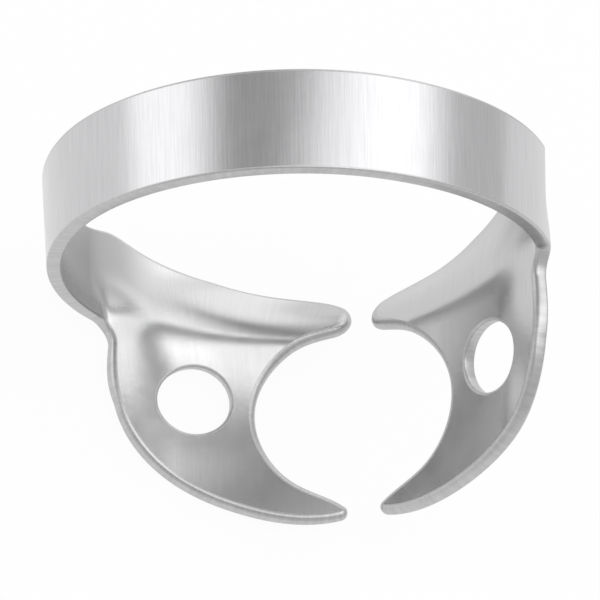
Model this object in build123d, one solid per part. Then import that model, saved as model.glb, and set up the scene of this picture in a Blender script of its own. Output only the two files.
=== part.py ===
"""Rubber dam clamp: one piece of spring steel sheet, punched, bent and dished.

It is modelled as a ring standing on its jaws, with X across the bow, Y along the bow's width,
distal side positive, Z towards the bow's crown, and the origin on top of the crown. At the end it
is laid down the way it comes to rest. All lengths are in millimetres and all angles in degrees.
"""
from build123d import *
import os
from math import cos, radians, sin, tan

os.makedirs("parts", exist_ok=True)

# sheet
sheet = 0.70

# bow: a wide band of two tangent arcs a side, outer radii
band_width = 4.70
crown_radius = 11.29
crown_angle = 43.2
flank_radius = 14.13
flank_angle = 52.9
band_flare = 0.024

# bend between bow and jaw
bend_radius = 1.45
bend_slope = 40.7

# jaw, seen along Y: falls of its two crests below the bend, and their slopes at the prongs
arm_fall = 8.33
arm_tip_slope = 2.6
plate_fall = 6.11
plate_tip_slope = 17.4

# jaw, seen along X: crease between arm and plate, and the dish of the plate
crease_place = -1.19
crease_half_width = 1.17
dish_place = -7.28
dish_half_width = 4.00
dish_depth = 0.51
dish_run_in = 2.50

# outline of a jaw, seen along Z
arm_edge = [(9.38, 1.53), (4.71, -0.14)]
distal_tip = (1.61, -1.75)
distal_tip_radius = 1.11
distal_tip_sweep = (123, 250)
scallop_edge = [(3.52, -3.98), (5.11, -6.65), (3.40, -10.51)]
mesial_tip = (1.14, -12.22)
mesial_tip_radius = 0.34
mesial_tip_sweep = (129, 256)
rim_edge = [(5.82, -12.00), (9.26, -9.79), (10.78, -6.60)]
shoulder_place = 11.00
shoulder_length = 1.15
shoulder_end = 11.24

# forceps hole, punched square to the plate
hole_place = (7.73, -6.28)
hole_across = 3.70
hole_along = 3.48

# rest: the lean onto the left jaw and the pitch towards the prongs
rest_lean = 35.0
rest_pitch = 6.2

# how finely the sheet's form is followed
crown_count = 8
flank_count = 8
bend_count = 12
jaw_count = 26
width_count = 30
surface_margin = 1.2
surface_tolerance = 0.004


def arc_end(start, radius, turn_from, turn_to):
    """End of an arc that turns downwards from one heading to another."""
    x, z = start
    a, b = radians(turn_from), radians(turn_to)
    return x + radius * (sin(b) - sin(a)), z + radius * (cos(b) - cos(a))


bow_turn = crown_angle + flank_angle
bend_turn = 180 - bend_slope
crown_end = arc_end((0, 0), crown_radius, 0, crown_angle)
flank_end = arc_end(crown_end, flank_radius, crown_angle, bow_turn)
bend_end = arc_end(flank_end, bend_radius, bow_turn, bend_turn)
bend_x = bend_end[0] - sheet * sin(radians(bend_turn))
bend_z = bend_end[1] - sheet * cos(radians(bend_turn))


def ease(t):
    """Smooth step from 0 to 1."""
    t = min(max(t, 0.0), 1.0)
    return t * t * (3 - 2 * t)


def fall(t, depth, tip_slope):
    """Height lost at t of the way from the bend to the middle, for one crest of the jaw."""
    start = bend_x * tan(radians(bend_slope)) * (t - 2 * t**2 + t**3)
    end = bend_x * tan(radians(tip_slope)) * (t**3 - t**2)
    return start + end + depth * (3 * t**2 - 2 * t**3)


def jaw_height(x, y):
    """Height of the jaw's inner face."""
    t = 1 - x / bend_x
    arm = fall(t, arm_fall, arm_tip_slope)
    dish = dish_depth * (1 - ((y - dish_place) / dish_half_width) ** 2) * ease((bend_x - x) / dish_run_in)
    plate = fall(t, plate_fall, plate_tip_slope) + dish
    share = ease((crease_place + crease_half_width - y) / (2 * crease_half_width))
    return bend_z - arm * (1 - share) - plate * share


def bow_line():
    """Inner face of half a bow and its bend, seen along Y, from the crown down."""
    arcs = [
        ((0, 0), crown_radius, 0, crown_angle, crown_count),
        (crown_end, flank_radius, crown_angle, bow_turn, flank_count),
        (flank_end, bend_radius, bow_turn, bend_turn, bend_count),
    ]
    points = []
    for start, radius, turn_from, turn_to, steps in arcs:
        for i in range(steps):
            turn = turn_from + (turn_to - turn_from) * i / steps
            x, z = arc_end(start, radius, turn_from, turn)
            points.append((x - sheet * sin(radians(turn)), z - sheet * cos(radians(turn))))
    return points


def sheet_rows():
    """Rows of points on the inner face, from the left prongs over the bow to the right ones."""
    low = mesial_tip[1] - surface_margin
    high = band_width / 2 + surface_margin
    widths = [low + (high - low) * j / width_count for j in range(width_count + 1)]
    half = []
    for x, z in bow_line():
        half.append([Vector(x * (1 + band_flare * y / band_width), y, z) for y in widths])
    for i in range(jaw_count + 1):
        x = bend_x * (1 - i / jaw_count)
        half.append([Vector(x * (1 + band_flare * y / band_width), y, jaw_height(x, y)) for y in widths])
    left = [[Vector(-p.X, p.Y, p.Z) for p in row] for row in reversed(half[1:])]
    return left + half


def tip_arc(centre, radius, sweep):
    """Rounded end of a prong, with its end points and headings."""
    angles = [sweep[0], (sweep[0] + sweep[1]) / 2, sweep[1]]
    points = [(centre[0] + radius * cos(radians(a)), centre[1] + radius * sin(radians(a))) for a in angles]
    headings = [(-sin(radians(a)), cos(radians(a))) for a in angles]
    return ThreePointArc(*points), points[0], points[2], headings[0], headings[2]


def jaw_outline():
    """Outline of the right jaw, seen along Z, with a tab that meets the bow's width."""
    half = band_width / 2
    tab = bend_x + bend_radius
    distal, distal_in, distal_out, distal_in_way, distal_out_way = tip_arc(
        distal_tip, distal_tip_radius, distal_tip_sweep
    )
    mesial, mesial_in, mesial_out, mesial_in_way, mesial_out_way = tip_arc(
        mesial_tip, mesial_tip_radius, mesial_tip_sweep
    )
    shoulder = (shoulder_place, -half - shoulder_length)
    arm = Spline((bend_x, half), *arm_edge, distal_in, tangents=((-1, 0), distal_in_way))
    scallop = Spline(distal_out, *scallop_edge, mesial_in, tangents=(distal_out_way, mesial_in_way))
    rim = Spline(mesial_out, *rim_edge, shoulder, tangents=(mesial_out_way, (0, 1)))
    neck = Spline(shoulder, (shoulder_end, -half), tangents=((0, 1), (1, 0)))
    foot = Polyline((shoulder_end, -half), (tab, -half), (tab, half), (bend_x, half))
    return make_face([arm, distal, scallop, mesial, rim, neck, foot])


def trimmed_sheet():
    """Inner face of the whole clamp, cut to its outline."""
    rows = sheet_rows()
    face = Face.make_surface_from_array_of_points(rows, tol=surface_tolerance, min_deg=3, max_deg=5)
    reach = 2 * (bend_x + bend_radius)
    split = flank_end[1]
    bow = Pos(0, 0, split) * Box(reach, band_width, -split, align=(Align.CENTER, Align.CENTER, Align.MIN))
    jaw = Pos(0, 0, 2 * split) * extrude(jaw_outline(), amount=-split)
    tool = bow + jaw + mirror(jaw, about=Plane.YZ)
    return face.intersect(tool)


def hole_plane():
    """Plane on the plate at the middle of the right hole, square to the sheet."""
    x, y = hole_place
    step = sheet / 10
    across = Vector(2 * step, 0, jaw_height(x + step, y) - jaw_height(x - step, y)).normalized()
    along = Vector(0, 2 * step, jaw_height(x, y + step) - jaw_height(x, y - step)).normalized()
    return Plane(origin=(x, y, jaw_height(x, y)), x_dir=across, z_dir=across.cross(along))


def hole_punch():
    """Oval punch that makes the right hole."""
    outline = hole_plane() * Ellipse(hole_across / 2, hole_along / 2)
    return extrude(outline, amount=2 * sheet, both=True)


def lie_down(clamp):
    """Lay the clamp on one jaw, with the middle of its footprint at the origin."""
    leaning = Rot(X=rest_pitch) * Rot(Y=-rest_lean) * clamp
    box = leaning.bounding_box()
    return Pos(-box.center().X, -box.center().Y, -box.min.Z) * leaning


blank = thicken(trimmed_sheet()[0], amount=sheet)
clamp = lie_down(blank - hole_punch() - mirror(hole_punch(), about=Plane.YZ))
export_step(clamp, "parts/clamp.step")
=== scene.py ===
"""Rubber dam clamp in satin spring steel, lying on one jaw on a white table, seen from above.

The sheet is worked out in millimetres in the clamp's own frame: X across the bow, Y along its width
with the distal side positive, Z towards the crown, origin on top of the crown. A place on the sheet
is (s, y), where s runs from the crown along the bow and the jaw and is negative on the left half.
The finished mesh is laid down where the CAD solid lies.
"""
from math import cos, pi, radians, sin, tan

import bpy
import numpy as np
from mathutils import Matrix, Vector
from mathutils.geometry import delaunay_2d_cdt


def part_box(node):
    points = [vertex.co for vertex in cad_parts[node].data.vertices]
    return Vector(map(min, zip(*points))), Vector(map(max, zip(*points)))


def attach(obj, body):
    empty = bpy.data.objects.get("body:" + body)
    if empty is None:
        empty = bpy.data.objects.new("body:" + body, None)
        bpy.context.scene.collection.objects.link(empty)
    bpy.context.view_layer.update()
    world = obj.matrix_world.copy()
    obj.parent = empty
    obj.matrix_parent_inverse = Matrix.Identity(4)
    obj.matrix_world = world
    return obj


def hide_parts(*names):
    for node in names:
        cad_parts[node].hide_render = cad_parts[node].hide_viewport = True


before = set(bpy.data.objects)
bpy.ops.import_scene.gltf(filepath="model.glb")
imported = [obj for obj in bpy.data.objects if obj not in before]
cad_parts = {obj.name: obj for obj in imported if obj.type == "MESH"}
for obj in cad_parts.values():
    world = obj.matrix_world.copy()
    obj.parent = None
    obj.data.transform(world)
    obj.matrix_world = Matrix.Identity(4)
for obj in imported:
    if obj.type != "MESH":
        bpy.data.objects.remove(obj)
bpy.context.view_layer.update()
MM = 0.001

# sheet, bow as two tangent arcs a side, and bend, as in the solid
SHEET = 0.70
BAND_WIDTH = 4.70
CROWN_RADIUS, CROWN_ANGLE = 11.29, 43.2
FLANK_RADIUS, FLANK_ANGLE = 14.13, 52.9
BAND_FLARE = 0.024
BEND_RADIUS, BEND_SLOPE = 1.45, 40.7

# the arm's side of the bend, drawn out into a slower curve than the solid's
BEND_RUN_IN, BEND_RUN_OUT = 1.2, 5.4
BEND_EASE_FROM, BEND_EASE_WIDTH = -2.6, 3.2

# jaw: falls of its two crests, the crease between them, drawn softer than the solid's, and the dish
ARM_FALL, ARM_TIP_SLOPE = 8.33, 2.6
PLATE_FALL, PLATE_TIP_SLOPE = 6.11, 17.4
CREASE_PLACE, CREASE_HALF_WIDTH = -1.35, 2.45
DISH_PLACE, DISH_HALF_WIDTH, DISH_DEPTH, DISH_RUN_IN = -7.28, 4.00, 0.51, 2.50

# outline of a jaw, seen along Z; a tip is its centre, radius and sweep of angles
ARM_EDGE = [(9.38, 1.53), (4.71, -0.14)]
DISTAL_TIP = (1.61, -1.75), 1.11, (123, 250)
SCALLOP_EDGE = [(3.52, -3.98), (5.11, -6.65), (3.40, -10.51)]
MESIAL_TIP = (1.14, -12.22), 0.34, (129, 256)
RIM_EDGE = [(5.82, -12.00), (9.26, -9.79), (10.78, -6.60)]
SHOULDER_PLACE, SHOULDER_LENGTH, NECK_RUN = 11.00, 1.15, 1.15
HOLE_PLACE, HOLE_ACROSS, HOLE_ALONG = (7.73, -6.28), 3.70, 3.48

# rest pose: the lean onto the left jaw and the pitch towards the prongs
REST_LEAN, REST_PITCH = 35.0, 6.2

# radii of the rounded edges, on the inner and on the outer face
BAND_EDGE = (0.09, 0.10)
ARM_LIP = (0.14, 0.14)
PRONG_EDGE = (0.31, 0.31)
DISTAL_EDGE = (0.50, 0.18)
RIM_LIP = (0.26, 0.15)
HOLE_LIP = (0.13, 0.10)

# mesh: s per plan distance on a jaw, steps between points, and clearances: the ring round the faces
# from the widest rounding, and the points between the rings from them
JAW_STRETCH = 1.3
EDGE_STEP, TIP_STEP, FACE_STEP = 0.12, 0.06, 0.20
ROW_STEP = FACE_STEP * sin(radians(60))
RING_CLEAR, FACE_CLEAR = 0.03, 0.12
SLOPE_STEP = 0.01
INSET_STEPS = 8
ROUND_STEPS = 4
ROUND_WEIGHT = cos(pi / 4)
TRIANGLES_INSIDE, SAME_POINT = 1, 1e-6
OFF_EDGE = -1

# zones of the mesh, in the order of its materials
ZONE_INSIDE, ZONE_OUTSIDE, ZONE_RIM = 0, 1, 2

# steel: darkest and lightest colour of each zone, and its roughness
INSIDE_COLOURS = (0.55, 0.55, 0.55), (0.59, 0.59, 0.59)
OUTSIDE_COLOURS = (0.54, 0.54, 0.55), (0.62, 0.62, 0.63)
# the rim's colours are painted darker than the faces' as painted shade, for the shaded floor below that
# the rim reflects
RIM_PAINTED_SHADE_COLOURS = (0.47, 0.47, 0.475), (0.58, 0.58, 0.58)
FACE_ROUGHNESS = (0.18, 0.25)
RIM_ROUGHNESS = 0.36

# painted shade and unpolished steel in the bends: a darker colour painted on the inner face there and on
# the bow's distal side, with a higher roughness; and where the painted shade ends and polish is full,
# along s and across to the plate
BEND_PAINTED_SHADE, BEND_ROUGHNESS = (0.47, 0.47, 0.475), 0.55
SHADE_AND_POLISH_RUN = (23.4, 26.8)
SHADE_AND_POLISH_SIDE = (0.6, -2.4)

# noises of the steel: scale along and across, and detail; NOISE_MIDDLE is the range that they use
BRUSH = (12.0, 0.35, 1), 2
CLOUD = (0.6, 0.6, 1), 3
PEEL = (1.8, 1.8, 1), 2
SHEAR = (5.0, 1.2, 1), 3
NOISE_ROUGHNESS = 0.6
NOISE_MIDDLE = (0.25, 0.75)

# relief of the steel: depths in millimetres, and strengths of peel and brush on either face
PEEL_DEPTH, BRUSH_DEPTH, SHEAR_DEPTH = 0.010, 0.004, 0.012
INSIDE_STRENGTHS = (0.3, 0.12)
OUTSIDE_STRENGTHS = (0.15, 0.5)
SHEAR_STRENGTH = 0.5

# studio: its level, then zones with their axis, inner and outer half angle in degrees, and gain
STUDIO_LEVEL = 0.70
STUDIO_ZONES = [
    ((0.49, 0.14, 0.86), 17, 36, 0.88),
    ((0.40, 0.86, 0.32), 8, 32, 0.75),
    ((-0.87, 0.37, 0.32), 8, 32, 0.75),
    ((-0.03, -0.12, 0.99), 8, 27, 0.95),
    ((-0.44, 0.34, 0.83), 4, 26, -0.25),
    ((0.16, 0.48, 0.86), 4, 24, -0.35),
    ((-0.24, -0.43, 0.87), 4, 16, -0.80),
]

# lamps in metres: name, direction from the clamp, side of the square, and brightness
LAMPS = [
    ("key", (0.54, 0.20, 0.82), 0.26, 0.25),
    ("fill", (-0.87, 0.37, 0.32), 0.20, 0.2),
]
LAMP_DISTANCE = 0.45
LAMP_AIM = Vector((0, 0, 0.01))

# floor in metres, and the share of plain white in what the camera and the metal see of it
FLOOR_HALF = 1.0
FLOOR_COLOUR = (0.9, 0.9, 0.9, 1)
FLOOR_ROUGHNESS = 0.9
FLOOR_GLOW = 0.94
WHITE = (1, 1, 1, 1)

# camera: yaw, pitch and roll of the view in the clamp's frame, distance and framing in millimetres,
# and the range that it sees in metres
VIEW_YAW, VIEW_PITCH, VIEW_ROLL = 20.0, 19.7, -2.2
VIEW_DISTANCE = 99.35
VIEW_SHIFT = (4.704, -7.487)
VIEW_WIDTH = 26.09
CLIP_START, CLIP_END = 0.005, 5.0


def ease(t):
    """Smooth step from 0 to 1."""
    t = np.clip(t, 0, 1)
    return t * t * (3 - 2 * t)


def soft_ease(t):
    """Smooth step from 0 to 1 that starts and ends without a jump in its curve."""
    t = np.clip(t, 0, 1)
    return t**3 * (6 * t * t - 15 * t + 10)


def dot(one, two):
    """Products of matching rows."""
    return (one * two).sum(axis=1)


def cross_2d(one, two):
    """Cross products of vectors in a plane, whose two parts are rows."""
    return one[0] * two[1] - one[1] * two[0]


def arc_end(start, radius, turn_from, turn_to):
    """End of an arc that turns downwards from one heading to another."""
    a, b = radians(turn_from), radians(turn_to)
    return start[0] + radius * (sin(b) - sin(a)), start[1] + radius * (cos(b) - cos(a))


# outer face seen along Y, as arcs of crown, flank and bend, and where the jaw's inner face starts
BOW_TURN = CROWN_ANGLE + FLANK_ANGLE
BEND_TURN = 180 - BEND_SLOPE
CROWN_END = arc_end((0, 0), CROWN_RADIUS, 0, CROWN_ANGLE)
FLANK_END = arc_end(CROWN_END, FLANK_RADIUS, CROWN_ANGLE, BOW_TURN)
BEND_END = arc_end(FLANK_END, BEND_RADIUS, BOW_TURN, BEND_TURN)
BEND_X = BEND_END[0] - SHEET * sin(radians(BEND_TURN))
BEND_Z = BEND_END[1] - SHEET * cos(radians(BEND_TURN))
ARC_STARTS = [(0, 0), CROWN_END, FLANK_END]
ARC_RADII = [CROWN_RADIUS, FLANK_RADIUS, BEND_RADIUS]
ARC_TURNS = [0, CROWN_ANGLE, BOW_TURN, BEND_TURN]
ARC_LENGTHS = [r * radians(b - a) for r, a, b in zip(ARC_RADII, ARC_TURNS, ARC_TURNS[1:])]
BOW_LENGTH = sum(ARC_LENGTHS)
SOFT_FROM = BOW_LENGTH - ARC_LENGTHS[2] - BEND_RUN_IN
SOFT_TO = BOW_LENGTH + BEND_RUN_OUT


def fall(t, depth, tip_slope):
    """Height lost at t of the way from the bend to the middle, for one crest of the jaw."""
    start = BEND_X * tan(radians(BEND_SLOPE)) * (t - 2 * t**2 + t**3)
    end = BEND_X * tan(radians(tip_slope)) * (t**3 - t**2)
    return start + end + depth * (3 * t**2 - 2 * t**3)


def jaw_height(x, y):
    """Height of the jaw's inner face."""
    t = 1 - x / BEND_X
    bowl = 1 - ((y - DISH_PLACE) / DISH_HALF_WIDTH) ** 2
    plate = fall(t, PLATE_FALL, PLATE_TIP_SLOPE) + DISH_DEPTH * bowl * ease((BEND_X - x) / DISH_RUN_IN)
    share = soft_ease((CREASE_PLACE + CREASE_HALF_WIDTH - y) / (2 * CREASE_HALF_WIDTH))
    return BEND_Z - fall(t, ARM_FALL, ARM_TIP_SLOPE) * (1 - share) - plate * share


def line_points(run, y):
    """Inner face at a distance from the crown, with a plain bend, as x and z of the right half."""
    x, z = np.zeros_like(run), np.zeros_like(run)
    begin = 0.0
    for start, radius, turn, length in zip(ARC_STARTS, ARC_RADII, ARC_TURNS, ARC_LENGTHS):
        here = run >= begin
        a, b = radians(turn), radians(turn) + (run - begin) / radius
        inner = radius - SHEET
        x = np.where(here, start[0] - radius * sin(a) + inner * np.sin(b), x)
        z = np.where(here, start[1] - radius * cos(a) + inner * np.cos(b), z)
        begin += length
    jaw = run > BOW_LENGTH
    jaw_x = BEND_X - (run - BOW_LENGTH) / JAW_STRETCH
    return np.where(jaw, jaw_x, x), np.where(jaw, jaw_height(jaw_x, y), z)


def eased_bend(run, y):
    """The bend drawn out into one slow curve, whose middle point is where its end directions meet."""
    places = (SOFT_FROM - SLOPE_STEP, SOFT_FROM, SOFT_TO, SOFT_TO + SLOPE_STEP)
    before, start, end, after = (np.array(line_points(np.full_like(run, place), y)) for place in places)
    start_way, end_way = start - before, after - end
    reach = cross_2d(end - start, end_way) / cross_2d(start_way, end_way)
    t = np.clip((run - SOFT_FROM) / (SOFT_TO - SOFT_FROM), 0, 1)
    return (1 - t) ** 2 * start + 2 * t * (1 - t) * (start + reach * start_way) + t**2 * end


def sheet_points(places):
    """Points of the inner face at places (s, y)."""
    s, y = places.T
    run = np.abs(s)
    x, z = line_points(run, y)
    soft_x, soft_z = eased_bend(run, y)
    near = (run > SOFT_FROM) & (run < SOFT_TO)
    share = np.where(near, soft_ease((y - BEND_EASE_FROM) / BEND_EASE_WIDTH), 0)
    x, z = x + share * (soft_x - x), z + share * (soft_z - z)
    return np.stack([np.sign(s) * x * (1 + BAND_FLARE * y / BAND_WIDTH), y, z], axis=-1)


def sheet_slopes(places):
    """Directions along and across the sheet, and its outward normal."""
    s_step, y_step = (SLOPE_STEP, 0), (0, SLOPE_STEP)
    along = (sheet_points(places + s_step) - sheet_points(places - s_step)) / (2 * SLOPE_STEP)
    across = (sheet_points(places + y_step) - sheet_points(places - y_step)) / (2 * SLOPE_STEP)
    normal = np.cross(along, across)
    return along, across, normal / np.linalg.norm(normal, axis=-1, keepdims=True)


def places_of(points):
    """Places (s, y) of points of the right jaw or its bend, seen along Z."""
    x, y = points[:, 0], points[:, 1]
    level = x / (1 + BAND_FLARE * y / BAND_WIDTH)
    reach = (level - BEND_X) / (BEND_RADIUS - SHEET) + sin(radians(BEND_TURN))
    turn = pi - np.arcsin(np.clip(reach, 0, 1))
    bend = BOW_LENGTH - (radians(BEND_TURN) - turn) * BEND_RADIUS
    s = np.where(level > BEND_X, bend, BOW_LENGTH + (BEND_X - level) * JAW_STRETCH)
    return np.stack([s, y], axis=1)


def spline(knots, start_way, end_way):
    """Evenly read points of a smooth curve through knots, from its first knot to before its last."""
    p = np.array(knots, float)
    gaps = np.linalg.norm(np.diff(p, axis=0), axis=1)
    count = len(p)
    system = np.zeros((count, count))
    goals = np.zeros((count, 2))
    system[0, 0] = system[-1, -1] = 1
    goals[0] = np.array(start_way) / np.hypot(*start_way)
    goals[-1] = np.array(end_way) / np.hypot(*end_way)
    for i in range(1, count - 1):
        before, after = gaps[i - 1], gaps[i]
        system[i, i - 1 : i + 2] = after, 2 * (before + after), before
        goals[i] = 3 * (after * (p[i] - p[i - 1]) / before + before * (p[i + 1] - p[i]) / after)
    ways = np.linalg.solve(system, goals)
    runs = []
    for i, gap in enumerate(gaps):
        t = np.linspace(0, 1, max(2, round(gap / EDGE_STEP)), endpoint=False)[:, None]
        runs.append(
            (1 + 2 * t) * (1 - t) ** 2 * p[i]
            + t * (1 - t) ** 2 * gap * ways[i]
            + t**2 * (3 - 2 * t) * p[i + 1]
            + t**2 * (t - 1) * gap * ways[i + 1]
        )
    return np.vstack(runs)


def tip_arc(centre, radius, sweep):
    """Points of a prong's rounded end, its end point, and its headings at start and end."""
    count = round(radius * radians(sweep[1] - sweep[0]) / TIP_STEP)
    a = np.radians(np.linspace(sweep[0], sweep[1], count, endpoint=False))
    points = np.stack([centre[0] + radius * np.cos(a), centre[1] + radius * np.sin(a)], axis=1)
    last = radians(sweep[1])
    end = (centre[0] + radius * cos(last), centre[1] + radius * sin(last))
    return points, end, (-np.sin(a[0]), np.cos(a[0])), (-sin(last), cos(last))


def level_run(s, y):
    """Places along the sheet at one y."""
    return np.stack([s, np.full_like(s, y)], axis=1)


def eased_radii(stops, count):
    """Edge radii that pass smoothly from stop to stop, at evenly spaced places."""
    stops = np.array(stops)
    t = np.linspace(0, len(stops) - 1, count)[:, None]
    radii = stops[0]
    for i, change in enumerate(np.diff(stops, axis=0)):
        radii = radii + change * ease(t - i)
    return radii


def right_outline():
    """Right half of the outline as places, from the crown round the jaw and back, with edge radii."""
    half = BAND_WIDTH / 2
    neck_end = BOW_LENGTH - NECK_RUN
    shoulder = (SHOULDER_PLACE, -half - SHOULDER_LENGTH)
    distal, distal_end, distal_in_way, distal_out_way = tip_arc(*DISTAL_TIP)
    mesial, mesial_end, mesial_in_way, mesial_out_way = tip_arc(*MESIAL_TIP)
    arm = spline([(BEND_X, half), *ARM_EDGE, distal[0]], (-1, 0), distal_in_way)
    scallop = spline([distal_end, *SCALLOP_EDGE, mesial[0]], distal_out_way, mesial_in_way)
    rim = spline([mesial_end, *RIM_EDGE, shoulder], mesial_out_way, (0, 1))
    neck = spline([places_of(np.array([shoulder]))[0], (neck_end, -half)], (0, 1), (-1, 0))
    way_out = np.arange(0, BOW_LENGTH, EDGE_STEP)
    way_back = np.append(np.arange(neck_end, 0, -EDGE_STEP), 0.0)
    stretches = [
        (level_run(way_out, half), BAND_EDGE, BAND_EDGE),
        (places_of(arm), BAND_EDGE, ARM_LIP, DISTAL_EDGE),
        (places_of(distal), DISTAL_EDGE, DISTAL_EDGE),
        (places_of(scallop), DISTAL_EDGE, PRONG_EDGE, PRONG_EDGE),
        (places_of(mesial), PRONG_EDGE, PRONG_EDGE),
        (places_of(rim), PRONG_EDGE, RIM_LIP, RIM_LIP),
        (neck, RIM_LIP, BAND_EDGE),
        (level_run(way_back, -half), BAND_EDGE, BAND_EDGE),
    ]
    places = np.vstack([run for run, *_ in stretches])
    radii = np.vstack([eased_radii(stops, len(run)) for run, *stops in stretches])
    return places, radii


def right_hole():
    """Edge of the right forceps hole as places, from an oval square to the plate."""
    middle = places_of(np.array([HOLE_PLACE]))
    along, _, normal = (way[0] for way in sheet_slopes(middle))
    u = along / np.linalg.norm(along)
    v = np.cross(normal, u)
    count = round(pi * (HOLE_ACROSS + HOLE_ALONG) / 2 / EDGE_STEP)
    a = np.linspace(0, 2 * pi, count, endpoint=False)[:, None]
    oval = HOLE_ACROSS / 2 * np.cos(a) * u + HOLE_ALONG / 2 * np.sin(a) * v
    return places_of(sheet_points(middle)[0] + oval)


def loops():
    """Outline and holes as closed loops of places, each with its radii and with the sheet on its left."""
    right, radii = right_outline()
    left = right[::-1] * (-1, 1)
    outline = np.vstack([right[1:-1], left[1:-1]])[::-1]
    outline_radii = np.vstack([radii[1:-1], radii[::-1][1:-1]])[::-1]
    hole = right_hole()
    hole_radii = np.tile(HOLE_LIP, (len(hole), 1))
    return [(outline, outline_radii), (hole[::-1], hole_radii), (hole * (-1, 1), hole_radii)]


def inside(points, loop):
    """Which points lie inside a closed loop."""
    x, y = points[:, :1], points[:, 1:]
    x0, y0 = loop[:, 0], loop[:, 1]
    x1, y1 = np.roll(x0, -1), np.roll(y0, -1)
    rise = np.where(y1 == y0, 1.0, y1 - y0)
    crossing = ((y0 > y) != (y1 > y)) & (x < (x1 - x0) * (y - y0) / rise + x0)
    return crossing.sum(axis=1) % 2 == 1


def on_sheet(places, rings):
    """Which places lie inside the outline's ring and outside the holes' rings."""
    outline, *holes = rings
    return inside(places, outline) & ~inside(places, holes[0]) & ~inside(places, holes[1])


def edge_frame(loop):
    """Points of an edge, the sheet's normal there, and the direction out of the edge in its plane."""
    points = sheet_points(loop)
    normal = sheet_slopes(loop)[2]
    way = np.roll(points, -1, axis=0) - np.roll(points, 1, axis=0)
    outward = np.cross(way, normal)
    return points, normal, outward / np.linalg.norm(outward, axis=1, keepdims=True)


def inset(loop, distances):
    """The loop of an edge drawn into the sheet by a distance at each point.

    Each step moves the places by what they still miss, read along the sheet's own directions.
    """
    points, _, outward = edge_frame(loop)
    goal = points - outward * distances[:, None]
    places = loop
    for _ in range(INSET_STEPS):
        along, across, _ = sheet_slopes(places)
        miss = goal - sheet_points(places)
        a, b, c = dot(along, along), dot(along, across), dot(across, across)
        p, q = dot(along, miss), dot(across, miss)
        places = places + np.stack([c * p - b * q, a * q - b * p], axis=1) / (a * c - b * b)[:, None]
    return places


def rounding(loop, radii, level, side):
    """Rows of points over a rounded edge, from the face at a level to the wall, along a round curve."""
    points, normal, _ = edge_frame(loop)
    corner = points + level * normal
    wall = corner + side * radii[:, None] * normal
    start = inset(loop, radii)
    face = sheet_points(start) + level * sheet_slopes(start)[2]
    rows = []
    for t in np.linspace(0, 1, ROUND_STEPS + 1):
        a, b, c = (1 - t) ** 2, 2 * t * (1 - t) * ROUND_WEIGHT, t**2
        rows.append((a * face + b * corner + c * wall) / (a + b + c))
    return rows


def face_grid(rings):
    """Places in rows over the sheet, clear of the rings."""
    low, high = rings[0].min(0), rings[0].max(0)
    grid = []
    for i, y in enumerate(np.arange(low[1], high[1], ROW_STEP)):
        grid.append(level_run(np.arange(low[0] + (i % 2) * FACE_STEP / 2, high[0], FACE_STEP), y))
    grid = np.vstack(grid)
    grid = grid[on_sheet(grid, rings)]
    edges = np.vstack(rings)
    near = np.array([np.hypot(*(edges - place).T).min() for place in grid])
    return grid[near > FACE_CLEAR]


def face_mesh(rings):
    """Triangles of one face of the sheet: their places, their indices, and the indices of each ring."""
    counts = [len(ring) for ring in rings]
    starts = np.cumsum([0, *counts])
    given = [Vector(map(float, place)) for place in np.vstack([*rings, face_grid(rings)])]
    sides = [(start + i, start + (i + 1) % n) for start, n in zip(starts, counts) for i in range(n)]
    outline = [list(range(counts[0]))]
    made, _, triangles, sources, _, _ = delaunay_2d_cdt(
        given, sides, outline, TRIANGLES_INSIDE, SAME_POINT
    )
    places = np.array([tuple(place) for place in made])
    index = {source: i for i, found in enumerate(sources) for source in found}
    ring_indices = [np.array([index[start + i] for i in range(n)]) for start, n in zip(starts, counts)]
    triangles = np.array([list(triangle) for triangle in triangles])
    middles = places[triangles].mean(axis=1)
    return places, triangles[on_sheet(middles, rings)], ring_indices


def strip(one, two):
    """Faces with four corners between two closed rows of vertices."""
    return np.stack([one, np.roll(one, -1), np.roll(two, -1), two], axis=1).tolist()


def build_clamp():
    """The whole sheet as one closed mesh in the clamp's own frame, with its zones and UV layers.

    The layer sheet holds the places, and the layer edge the run along an edge and the share of its wall.
    """
    edges = loops()
    rings = [inset(loop, radii.max(axis=1) + RING_CLEAR) for loop, radii in edges]
    places, triangles, ring_indices = face_mesh(rings)
    inner = sheet_points(places)
    verts = [inner, inner + SHEET * sheet_slopes(places)[2]]
    faces = triangles[:, ::-1].tolist() + (triangles + len(places)).tolist()
    zones = [ZONE_INSIDE] * len(triangles) + [ZONE_OUTSIDE] * len(triangles)
    sheet_uv = [places, places]
    edge_uv = [np.full_like(places, OFF_EDGE)] * 2
    total = 2 * len(places)
    for (loop, radii), ring in zip(edges, ring_indices):
        points = sheet_points(loop)
        run = np.cumsum(np.linalg.norm(points - np.roll(points, 1, axis=0), axis=1))
        rows = rounding(loop, radii[:, 0], 0, 1) + rounding(loop, radii[:, 1], SHEET, -1)[::-1]
        indices = [ring]
        for i, row in enumerate(rows):
            indices.append(np.arange(total, total + len(loop)))
            verts.append(row)
            sheet_uv.append(loop)
            edge_uv.append(level_run(run, i / (len(rows) - 1)))
            total += len(loop)
        indices.append(ring + len(places))
        for one, two in zip(indices, indices[1:]):
            faces += strip(one, two)
            zones += [ZONE_RIM] * len(loop)
    return np.vstack(verts), faces, zones, np.vstack(sheet_uv), np.vstack(edge_uv)


def rest_turn():
    """Turn from the clamp's own frame to the rest pose."""
    return Matrix.Rotation(radians(REST_PITCH), 3, "X") @ Matrix.Rotation(radians(-REST_LEAN), 3, "Y")


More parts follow.
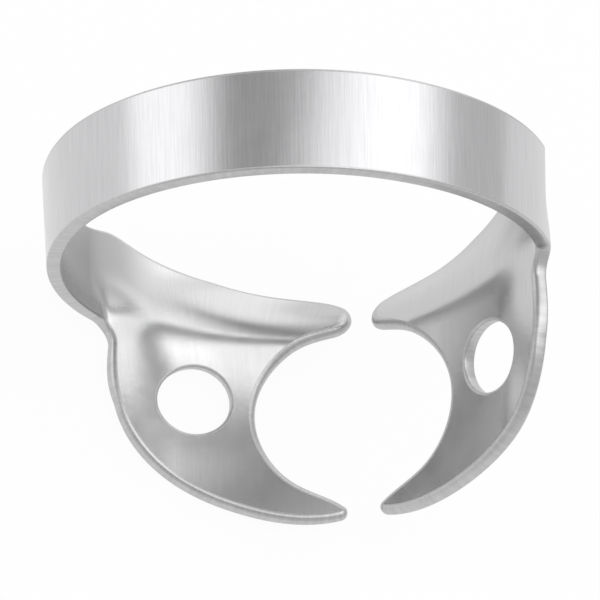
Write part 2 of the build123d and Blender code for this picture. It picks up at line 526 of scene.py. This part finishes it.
def lay_down(verts):
    """Points at rest in metres, where the CAD solid lies, and the crown's place there."""
    turned = verts @ np.array(rest_turn()).T
    low, high = turned.min(0) * MM, turned.max(0) * MM
    cad_low, cad_high = (np.array(corner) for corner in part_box("clamp"))
    crown = (cad_low + cad_high) / 2 - (low + high) / 2
    crown[2] = cad_low[2] - low[2]
    return turned * MM + crown, Vector(crown)


def make_clamp():
    """The clamp's piece, which stands for the CAD solid; gives the crown's place."""
    verts, faces, zones, sheet_uv, edge_uv = build_clamp()
    points, crown = lay_down(verts)
    mesh = bpy.data.meshes.new("clamp_sheet")
    mesh.from_pydata([tuple(point) for point in points], [], faces)
    mesh.materials.append(steel_face("steel_inside", INSIDE_COLOURS, INSIDE_STRENGTHS, painted_shade_and_wear=True))
    mesh.materials.append(steel_face("steel_outside", OUTSIDE_COLOURS, OUTSIDE_STRENGTHS, painted_shade_and_wear=False))
    mesh.materials.append(steel_rim())
    corners = [loop.vertex_index for loop in mesh.loops]
    for name, uv in (("sheet", sheet_uv), ("edge", edge_uv)):
        mesh.uv_layers.new(name=name).data.foreach_set("uv", uv[corners].astype(np.float32).ravel())
    for polygon, zone in zip(mesh.polygons, zones):
        polygon.material_index = zone
        polygon.use_smooth = True
    mesh.update()
    piece = bpy.data.objects.new("clamp_sheet", mesh)
    bpy.context.scene.collection.objects.link(piece)
    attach(piece, "root")
    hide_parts("clamp")
    return crown


def material(name):
    """A new material, its node tree and its shader."""
    made = bpy.data.materials.new(name)
    made.use_nodes = True
    return made, made.node_tree, made.node_tree.nodes["Principled BSDF"]


def feed(tree, value, socket):
    """Link what a node gives to a socket, or set the socket to a fixed value."""
    if isinstance(value, bpy.types.NodeSocket):
        tree.links.new(value, socket)
    else:
        socket.default_value = value


def joined(tree, operation, *values):
    """Values put together by a math node."""
    made = tree.nodes.new("ShaderNodeMath")
    made.operation = operation
    for value, socket in zip(values, made.inputs):
        feed(tree, value, socket)
    return made.outputs["Value"]


def mixed(tree, kind, share, one, two):
    """A number or colour between two, by a share."""
    mix = tree.nodes.new("ShaderNodeMix")
    mix.data_type = kind
    feed(tree, share, mix.inputs["Factor"])
    feed(tree, one, mix.inputs["A"])
    feed(tree, two, mix.inputs["B"])
    return mix.outputs["Result"]


def spread(tree, noise, low=0, high=1):
    """A noise's middle range mapped to a range of the shader."""
    change = tree.nodes.new("ShaderNodeMapRange")
    change.inputs["From Min"].default_value, change.inputs["From Max"].default_value = NOISE_MIDDLE
    change.inputs["To Min"].default_value = low
    change.inputs["To Max"].default_value = high
    tree.links.new(noise, change.inputs["Value"])
    return change.outputs["Result"]


def ramp(tree, value, start, full, height=1):
    """A smooth step from 0, at a starting value, to a height."""
    change = tree.nodes.new("ShaderNodeMapRange")
    change.interpolation_type = "SMOOTHSTEP"
    change.inputs["From Min"].default_value = start
    change.inputs["From Max"].default_value = full
    change.inputs["To Max"].default_value = height
    tree.links.new(value, change.inputs["Value"])
    return change.outputs["Result"]


def layer_place(tree, layer):
    """Place on a UV layer."""
    place = tree.nodes.new("ShaderNodeUVMap")
    place.uv_map = layer
    return place.outputs["UV"]


def streaks(tree, name, layer, scale, detail):
    """Noise on a UV layer, drawn out where its scale is low."""
    stretch = tree.nodes.new("ShaderNodeMapping")
    stretch.inputs["Scale"].default_value = scale
    noise = tree.nodes.new("ShaderNodeTexNoise")
    noise.name = name
    noise.inputs["Scale"].default_value = 1
    noise.inputs["Detail"].default_value = detail
    noise.inputs["Roughness"].default_value = NOISE_ROUGHNESS
    tree.links.new(layer_place(tree, layer), stretch.inputs["Vector"])
    tree.links.new(stretch.outputs["Vector"], noise.inputs["Vector"])
    return noise.outputs["Fac"]


def tint(tree, noise, colours):
    """Colour between a dark and a light one, by a noise."""
    dark, light = colours
    return mixed(tree, "RGBA", spread(tree, noise), (*dark, 1), (*light, 1))


def relief(tree, shader, height, depth, strength):
    """Bump on top of the bump that a shader has."""
    bump = tree.nodes.new("ShaderNodeBump")
    bump.inputs["Distance"].default_value = depth * MM
    bump.inputs["Strength"].default_value = strength
    tree.links.new(height, bump.inputs["Height"])
    if shader.inputs["Normal"].links:
        tree.links.new(shader.inputs["Normal"].links[0].from_socket, bump.inputs["Normal"])
    tree.links.new(bump.outputs["Normal"], shader.inputs["Normal"])


def polish_without_painted_shade(tree):
    """1 on the jaws and on the bow's mesial side, 0 on the rest of the bow and its bends, where the inner
    face gets painted shade and unpolished roughness.
    """
    parts = tree.nodes.new("ShaderNodeSeparateXYZ")
    tree.links.new(layer_place(tree, "sheet"), parts.inputs["Vector"])
    run = joined(tree, "ABSOLUTE", parts.outputs["X"])
    jaw = ramp(tree, run, *SHADE_AND_POLISH_RUN)
    plate = ramp(tree, parts.outputs["Y"], *SHADE_AND_POLISH_SIDE)
    return joined(tree, "MAXIMUM", jaw, plate)


def steel_face(name, colours, strengths, painted_shade_and_wear):
    """Satin steel, brushed across the bow's width; if asked, the bends and the bow's distal side are
    rougher and painted darker, as painted shade.
    """
    made, tree, shader = material(name)
    peel_strength, brush_strength = strengths
    brush = streaks(tree, "brush", "sheet", *BRUSH)
    colour = tint(tree, brush, colours)
    rough = spread(tree, streaks(tree, "cloud", "sheet", *CLOUD), *FACE_ROUGHNESS)
    if painted_shade_and_wear:
        polish_unshaded = polish_without_painted_shade(tree)
        # painted shade: the bends and the bow's distal side of the inner face are painted darker
        colour = mixed(tree, "RGBA", polish_unshaded, (*BEND_PAINTED_SHADE, 1), colour)
        rough = mixed(tree, "FLOAT", polish_unshaded, BEND_ROUGHNESS, rough)
    shader.inputs["Metallic"].default_value = 1
    tree.links.new(colour, shader.inputs["Base Color"])
    tree.links.new(rough, shader.inputs["Roughness"])
    relief(tree, shader, streaks(tree, "peel", "sheet", *PEEL), PEEL_DEPTH, peel_strength)
    relief(tree, shader, brush, BRUSH_DEPTH, brush_strength)
    return made


def steel_rim():
    """Sheared and tumbled edge, with lines across the sheet's thickness, and its colour painted darker
    than the faces as painted shade.
    """
    made, tree, shader = material("steel_rim")
    shear = streaks(tree, "shear", "edge", *SHEAR)
    shader.inputs["Metallic"].default_value = 1
    shader.inputs["Roughness"].default_value = RIM_ROUGHNESS
    # painted shade: the rim's colour is darker than the faces'
    tree.links.new(tint(tree, shear, RIM_PAINTED_SHADE_COLOURS), shader.inputs["Base Color"])
    relief(tree, shader, shear, SHEAR_DEPTH, SHEAR_STRENGTH)
    return made


def make_camera(crown):
    """Camera at the photo's angle, framed by its place alone, with no shift of its own."""
    yaw, pitch, roll = radians(VIEW_YAW), radians(VIEW_PITCH), radians(VIEW_ROLL)
    back = Vector((sin(yaw) * cos(pitch), -sin(pitch), cos(yaw) * cos(pitch)))
    level = Vector((cos(yaw), 0, -sin(yaw)))
    right = cos(roll) * level + sin(roll) * back.cross(level)
    up = back.cross(right)
    eye = VIEW_DISTANCE * back + VIEW_SHIFT[0] * right + VIEW_SHIFT[1] * up
    turn = rest_turn() @ Matrix((right, up, back)).transposed()
    data = bpy.data.cameras.new("camera")
    data.lens = data.sensor_width * VIEW_DISTANCE / VIEW_WIDTH
    data.clip_start, data.clip_end = CLIP_START, CLIP_END
    camera = bpy.data.objects.new("camera", data)
    camera.matrix_world = Matrix.Translation(rest_turn() @ eye * MM + crown) @ turn.to_4x4()
    bpy.context.scene.collection.objects.link(camera)
    bpy.context.scene.camera = camera


def shows_background(tree):
    """1 for the rays that show the background: camera, glossy and transmission."""
    path = tree.nodes.new("ShaderNodeLightPath")
    either = joined(tree, "MAXIMUM", path.outputs["Is Camera Ray"], path.outputs["Is Glossy Ray"])
    return joined(tree, "MAXIMUM", either, path.outputs["Is Transmission Ray"])


def white_table():
    """Pale matt table that shows as nearly white and keeps a faint shadow."""
    made, tree, shader = material("floor")
    shader.inputs["Base Color"].default_value = FLOOR_COLOUR
    shader.inputs["Roughness"].default_value = FLOOR_ROUGHNESS
    glow = tree.nodes.new("ShaderNodeEmission")
    glow.inputs["Strength"].default_value = 1
    mix = tree.nodes.new("ShaderNodeMixShader")
    share = joined(tree, "MULTIPLY", shows_background(tree), FLOOR_GLOW)
    tree.links.new(share, mix.inputs["Fac"])
    tree.links.new(shader.outputs["BSDF"], mix.inputs[1])
    tree.links.new(glow.outputs["Emission"], mix.inputs[2])
    tree.links.new(mix.outputs["Shader"], tree.nodes["Material Output"].inputs["Surface"])
    return made


def make_floor():
    """Square floor under the clamp."""
    signs = ((-1, -1), (1, -1), (1, 1), (-1, 1))
    mesh = bpy.data.meshes.new("floor")
    mesh.from_pydata([(x * FLOOR_HALF, y * FLOOR_HALF, 0) for x, y in signs], [], [(0, 1, 2, 3)])
    mesh.materials.append(white_table())
    floor = bpy.data.objects.new("floor", mesh)
    bpy.context.scene.collection.objects.link(floor)


def add_lamp(name, way, size, brightness):
    """A square soft light that faces the clamp from a direction."""
    data = bpy.data.lights.new(name, "AREA")
    data.shape = "SQUARE"
    data.size = size
    data.energy = brightness * pi * size**2
    light = bpy.data.objects.new(name, data)
    way = Vector(way).normalized()
    light.location = way * LAMP_DISTANCE + LAMP_AIM
    light.rotation_euler = way.to_track_quat("Z", "Y").to_euler()
    bpy.context.scene.collection.objects.link(light)


def zone_gain(tree, way, axis, inner, outer, gain):
    """A soft round zone of the surround: its gain inside the inner angle, and none past the outer one."""
    along = tree.nodes.new("ShaderNodeVectorMath")
    along.operation = "DOT_PRODUCT"
    along.inputs[1].default_value = Vector(axis).normalized()
    tree.links.new(way, along.inputs[0])
    return ramp(tree, along.outputs["Value"], cos(radians(outer)), cos(radians(inner)), gain)


def make_studio():
    """Lamps and a pale surround with soft lighter and darker zones, white where the camera sees it."""
    world = bpy.data.worlds.new("studio")
    bpy.context.scene.world = world
    world.use_nodes = True
    tree = world.node_tree
    way = tree.nodes.new("ShaderNodeTexCoord").outputs["Generated"]
    level = STUDIO_LEVEL
    for axis, inner, outer, gain in STUDIO_ZONES:
        level = joined(tree, "ADD", zone_gain(tree, way, axis, inner, outer, gain), level)
    seen = tree.nodes.new("ShaderNodeLightPath").outputs["Is Camera Ray"]
    background = tree.nodes["Background"]
    background.inputs["Color"].default_value = WHITE
    tree.links.new(mixed(tree, "FLOAT", seen, level, 1), background.inputs["Strength"])
    for lamp in LAMPS:
        add_lamp(*lamp)


crown = make_clamp()
make_camera(crown)
make_floor()
make_studio()
bpy.context.scene.view_settings.view_transform = "Standard"
